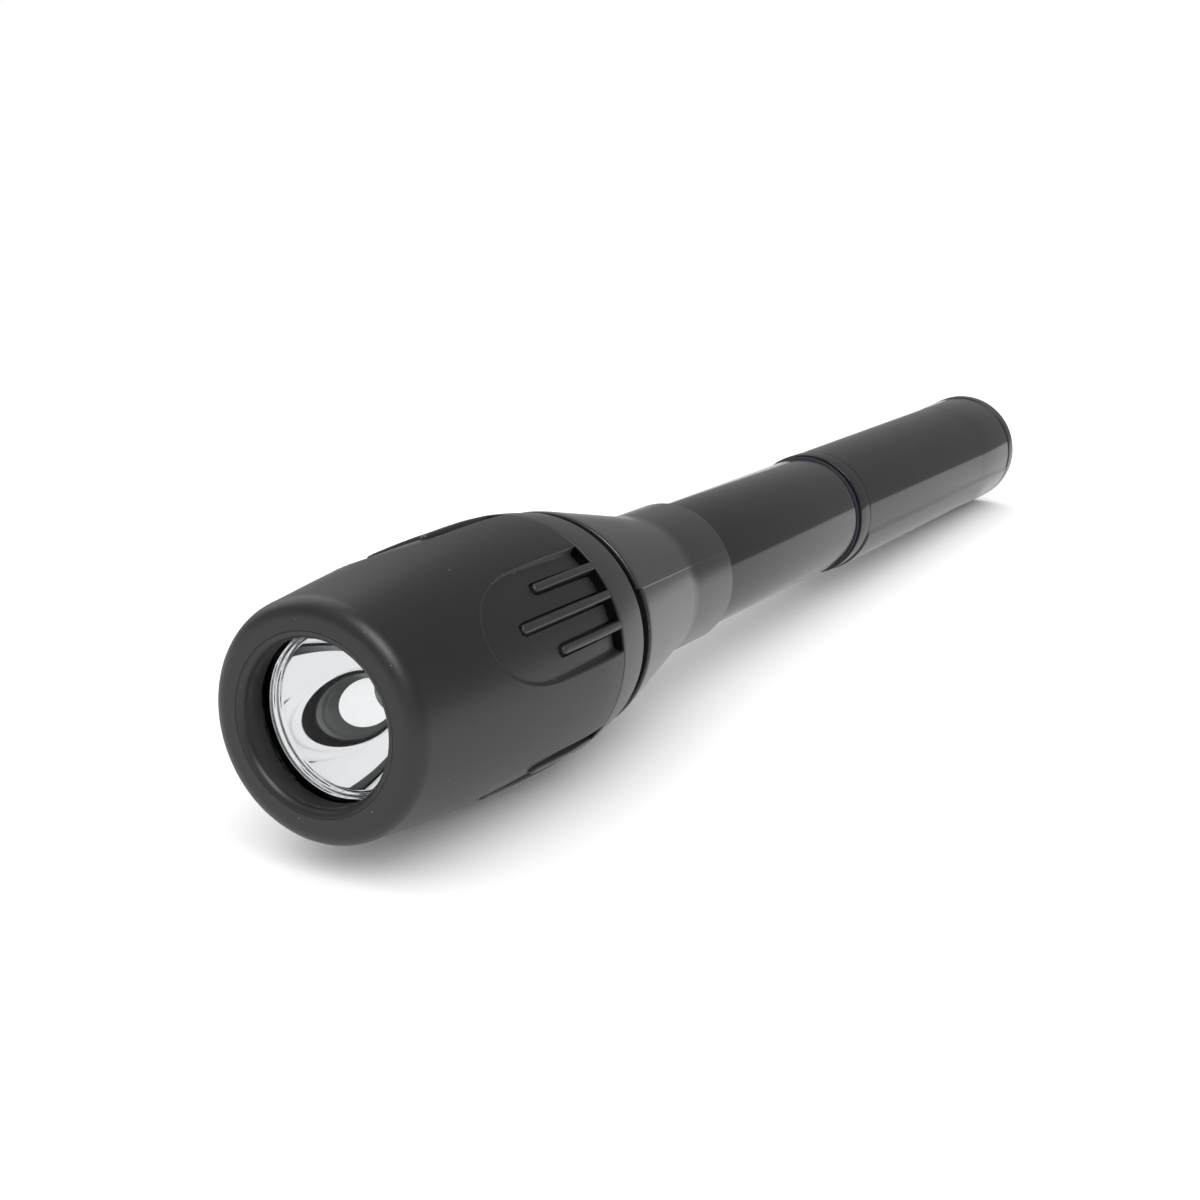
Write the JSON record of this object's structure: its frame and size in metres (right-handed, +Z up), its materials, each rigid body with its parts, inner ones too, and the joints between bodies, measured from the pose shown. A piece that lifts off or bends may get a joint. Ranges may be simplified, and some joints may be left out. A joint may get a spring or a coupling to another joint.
{
  "type": "flashlight",
  "caption": "Black LED flashlight with a soft scooped grip head, mirror reflector, glossy tapered barrel and a long screwed tail tube for cells in line.",
  "frame": {"origin": "centre of the bounding box at ground level, below the middle of the flashlight", "axes": "+Z up; the flashlight lies along Y with its head towards -Y and its tail towards +Y"},
  "size_m": [0.0326, 0.2116, 0.0326],
  "materials": {
    "soft_black": "soft-touch matte black",
    "satin_black": "satin moulded black plastic",
    "gloss_black": "glossy black",
    "seal_rubber": "matte seal rubber",
    "clear_plastic": "clear polished lens",
    "reflector_mirror": "bright metallised plastic",
    "led_resin": "clear cast resin over a pale chip",
    "board_laminate": "glass laminate",
    "chip_ceramic": "dark chip",
    "carrier_plastic": "natural moulded plastic",
    "contact_brass": "bare brass",
    "nickel_steel": "nickel-plated steel",
    "cell_jacket": "plain printed jacket without words"
  },
  "bodies": {
    "barrel": {"front_housing": "satin_black", "head_seal": "seal_rubber", "barrel_tube": "gloss_black", "barrel_strip": "contact_brass", "cell_1_can": "cell_jacket", "cell_1_cap": "nickel_steel", "cell_2_can": "cell_jacket", "cell_2_cap": "nickel_steel", "cell_3_can": "cell_jacket", "cell_3_cap": "nickel_steel", "tail_seal": "seal_rubber"},
    "lamp": {"led_emitter": "led_resin", "led_board": "board_laminate", "drive_resistor": "chip_ceramic", "lamp_carrier": "carrier_plastic", "contact_pin": "contact_brass", "ground_band": "nickel_steel"},
    "head": {"grip_sleeve": "soft_black", "collar_ring": "satin_black", "head_shell": "satin_black", "lens_seal": "seal_rubber", "lens": "clear_plastic", "reflector": "reflector_mirror"},
    "spring": {"tail_spring": "nickel_steel"},
    "tail": {"tail_tube": "gloss_black", "joint_washer": "nickel_steel", "tail_strip": "contact_brass", "tail_contact": "nickel_steel", "tail_plug": "satin_black"}
  },
  "joints": [
    {"name": "lamp_slide", "type": "slide", "parent": "barrel", "child": "lamp", "axis": [0, 0.9994, -0.035], "range_m": [0, 0.001]},
    {"name": "head_twist", "type": "hinge", "parent": "lamp", "child": "head", "pos_m": [0, -0.05715, 0.01581], "axis": [0, 0.9994, -0.035], "range_deg": [0, 180]},
    {"name": "spring_slide", "type": "slide", "parent": "barrel", "child": "spring", "axis": [0, 0.9994, -0.035], "range_m": [0, 0.006]},
    {"name": "tail_screw", "type": "hinge", "parent": "spring", "child": "tail", "pos_m": [0, 0.0276, 0.01285], "axis": [0, 0.9994, -0.035], "range_deg": [0, 1440]}
  ],
  "couplings": [
    {"joint": "lamp_slide", "follows": "head_twist", "m_per_rad": 0.0003183},
    {"joint": "spring_slide", "follows": "tail_screw", "m_per_rad": 0.0002387}
  ]
}
